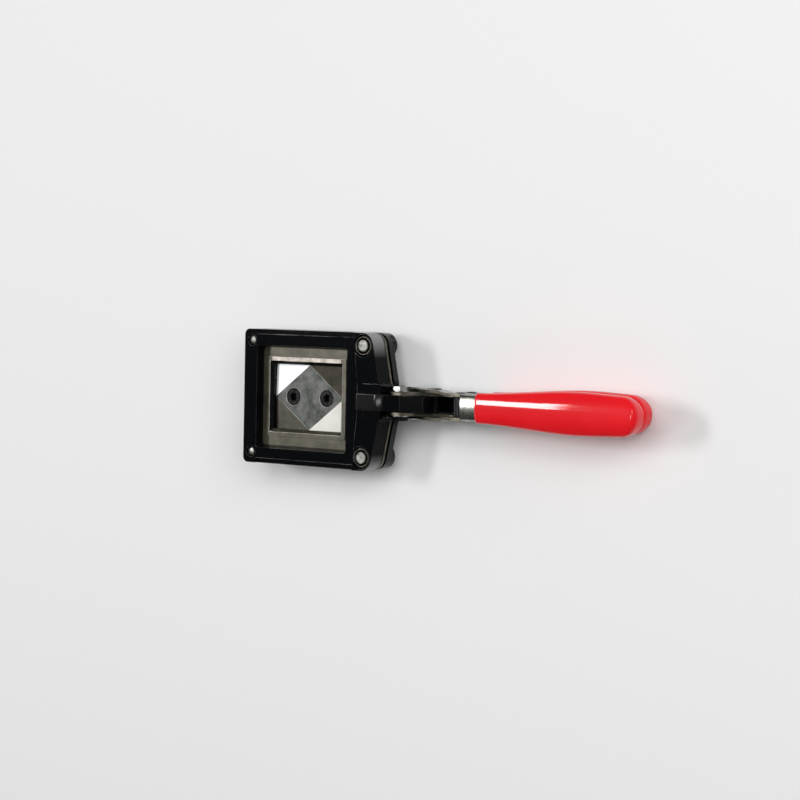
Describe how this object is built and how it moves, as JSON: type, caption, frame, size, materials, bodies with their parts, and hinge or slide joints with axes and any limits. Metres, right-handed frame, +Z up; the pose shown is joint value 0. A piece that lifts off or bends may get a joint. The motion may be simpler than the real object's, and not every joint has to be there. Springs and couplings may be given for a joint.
{
  "type": "passport photo cutter",
  "caption": "Hand-held plier punch: two black castings close on guide posts and a steel punch enters a framed die plate to cut a passport photo; red-gripped crossing handles.",
  "frame": {"origin": "the middle of the part's footprint, on the table that the pedestal stands on", "axes": "+X runs from the head to the tips of the handles, +Y is the tool's left side seen from the head, and +Z is up, the way the castings open"},
  "size_m": [0.2434, 0.072, 0.0306],
  "materials": {
    "black_enamel": "glossy black enamel on a die casting",
    "ground_steel": "ground",
    "bright_steel": "bright ground",
    "nickel_plate": "nickel plated",
    "black_oxide_steel": "black oxide",
    "red_vinyl": "glossy dipped vinyl",
    "bronze": "plain bearing bronze",
    "spring_steel": "bright spring wire"
  },
  "bodies": {
    "lower_frame": {"lower_casting": "black_enamel", "punch": "ground_steel", "punch_screw_front": "black_oxide_steel", "punch_screw_rear": "black_oxide_steel", "punch_dowel_left": "black_oxide_steel", "punch_dowel_right": "black_oxide_steel", "guide_bushing_left": "bronze", "guide_bushing_right": "bronze", "return_spring_left": "spring_steel", "return_spring_right": "spring_steel", "lower_pivot_rivet": "nickel_plate", "lower_pivot_spacer_left": "bright_steel", "lower_pivot_spacer_right": "bright_steel"},
    "upper_frame": {"upper_casting": "black_enamel", "die_plate": "ground_steel", "die_screw_front_left": "black_oxide_steel", "die_screw_front_right": "black_oxide_steel", "die_screw_rear_left": "black_oxide_steel", "die_screw_rear_right": "black_oxide_steel", "stripper_plate": "bright_steel", "stripper_screw_left": "black_oxide_steel", "stripper_screw_right": "black_oxide_steel", "photo_stop": "bright_steel", "corner_screw_left": "nickel_plate", "corner_screw_right": "nickel_plate", "corner_spacer_left": "bright_steel", "corner_spacer_right": "bright_steel", "guide_post_left": "bright_steel", "guide_post_right": "bright_steel", "post_collar_left": "nickel_plate", "post_collar_right": "nickel_plate", "upper_pivot_bolt": "black_oxide_steel", "upper_pivot_nut": "nickel_plate", "upper_pivot_washer_left": "nickel_plate", "upper_pivot_washer_right": "nickel_plate"},
    "upper_handle": {"upper_handle": "nickel_plate", "upper_grip": "red_vinyl", "upper_stop_rivet": "black_oxide_steel", "upper_stop_spacer": "black_oxide_steel", "centre_rivet": "nickel_plate"},
    "lower_handle": {"lower_handle": "nickel_plate", "lower_grip": "red_vinyl", "lower_stop_rivet": "black_oxide_steel", "lower_stop_spacer": "black_oxide_steel"}
  },
  "joints": [
    {"name": "handle_squeeze", "type": "hinge", "parent": "lower_frame", "child": "upper_handle", "pos_m": [-0.02185, 0, 0.0089], "axis": [0, 1, 0], "range_deg": [0, 2.17], "stiffness_Nm_per_rad": 7, "springref_deg": -8.42},
    {"name": "handle_cross", "type": "hinge", "parent": "upper_handle", "child": "lower_handle", "pos_m": [-0.00485, 0, 0.0152], "axis": [0, 1, 0], "range_deg": [-4.35, 0]},
    {"name": "head_close", "type": "slide", "parent": "lower_frame", "child": "upper_frame", "axis": [0, 0, -1], "range_m": [0, 0.0013], "deforming": ["return_spring_left", "return_spring_right"]}
  ],
  "couplings": [
    {"joint": "handle_cross", "follows": "handle_squeeze", "ratio": -2},
    {"joint": "head_close", "follows": "handle_squeeze", "m_per_rad": 0.03423}
  ]
}
